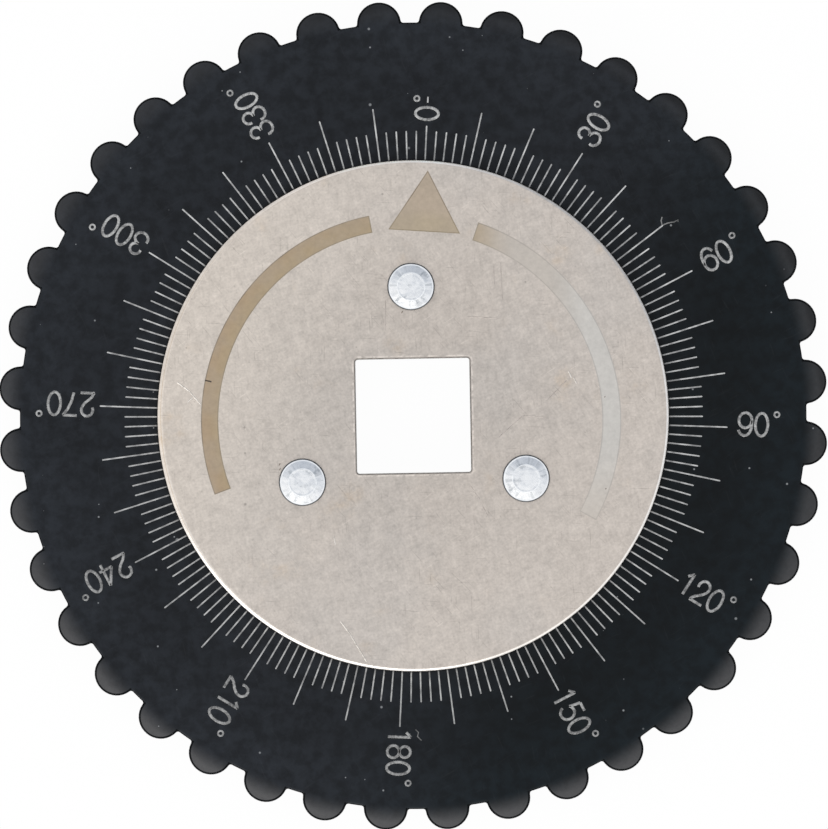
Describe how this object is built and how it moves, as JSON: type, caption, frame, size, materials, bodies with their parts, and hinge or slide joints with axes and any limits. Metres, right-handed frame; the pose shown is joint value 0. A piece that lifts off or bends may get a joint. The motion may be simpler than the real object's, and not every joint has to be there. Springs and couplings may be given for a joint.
{
  "type": "torque angle gauge",
  "caption": "Flat torque angle gauge: a scalloped black degree ring turns between riveted round plates with a pointer and a square drive hole.",
  "frame": {"origin": "drive axis at the gauge's flat back face", "axes": "+Z along the drive axis, out of the front with the scale; +Y towards the top rivet; the square hole's flats face X and Y"},
  "size_m": [0.0936, 0.0936, 0.0071],
  "materials": {
    "nickel_plate": "satin nickel plating, finely scratched",
    "hub_steel": "plain machined steel",
    "black_ring": "satin black coat on steel, laser marked",
    "rivet_metal": "bright zinc-plated steel"
  },
  "bodies": {
    "drive_stack": {"pointer_plate": "nickel_plate", "back_plate": "nickel_plate", "bearing_hub": "hub_steel", "rivet_top": "rivet_metal", "rivet_left": "rivet_metal", "rivet_right": "rivet_metal"},
    "scale": {"scale_ring": "black_ring"}
  },
  "joints": [
    {"name": "scale_turn", "type": "hinge", "parent": "drive_stack", "child": "scale", "pos_m": [0, 0, 0.00315], "axis": [0, 0, 1], "continuous": true}
  ]
}
